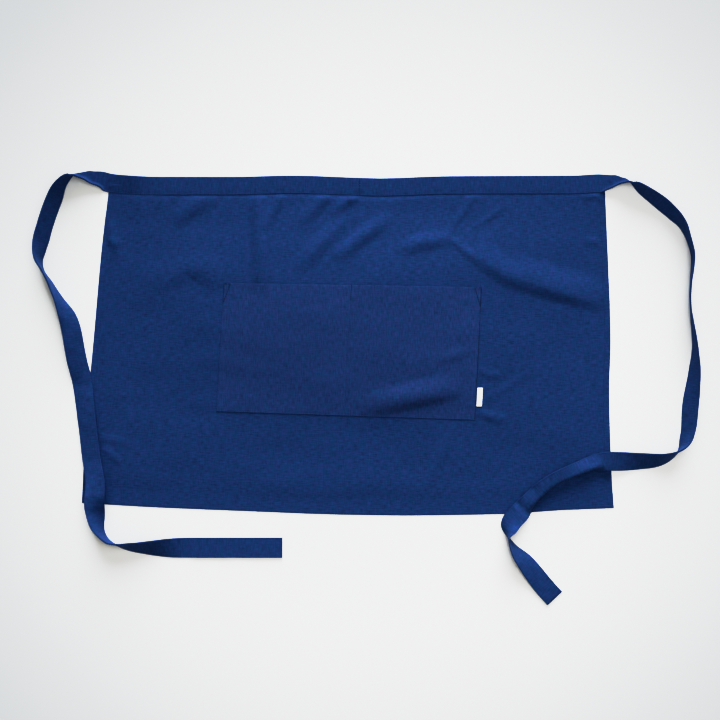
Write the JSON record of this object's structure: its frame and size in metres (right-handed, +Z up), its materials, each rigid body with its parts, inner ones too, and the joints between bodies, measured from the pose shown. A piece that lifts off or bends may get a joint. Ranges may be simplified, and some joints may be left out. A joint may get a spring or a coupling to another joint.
{
  "type": "waiter apron",
  "caption": "Plain linen half apron for a waiter, laid flat and face up, with a divided patch pocket, a bound waistband that runs on as long ties, and a bare side label.",
  "frame": {"origin": "on the surface that the apron lies on, under the middle of the whole laid-out apron", "axes": "+X to the apron's right as seen from above, +Y towards the waistband, +Z up out of the front face"},
  "size_m": [0.9868, 0.6502, 0.0306],
  "materials": {
    "linen": "plain woven blue linen, matt",
    "label_ribbon": "white woven ribbon, matt"
  },
  "bodies": {
    "root": {"skirt": "linen", "waistband_tie_left": "linen", "waistband_tie_right": "linen", "pocket": "linen", "label": "label_ribbon"}
  },
  "joints": []
}
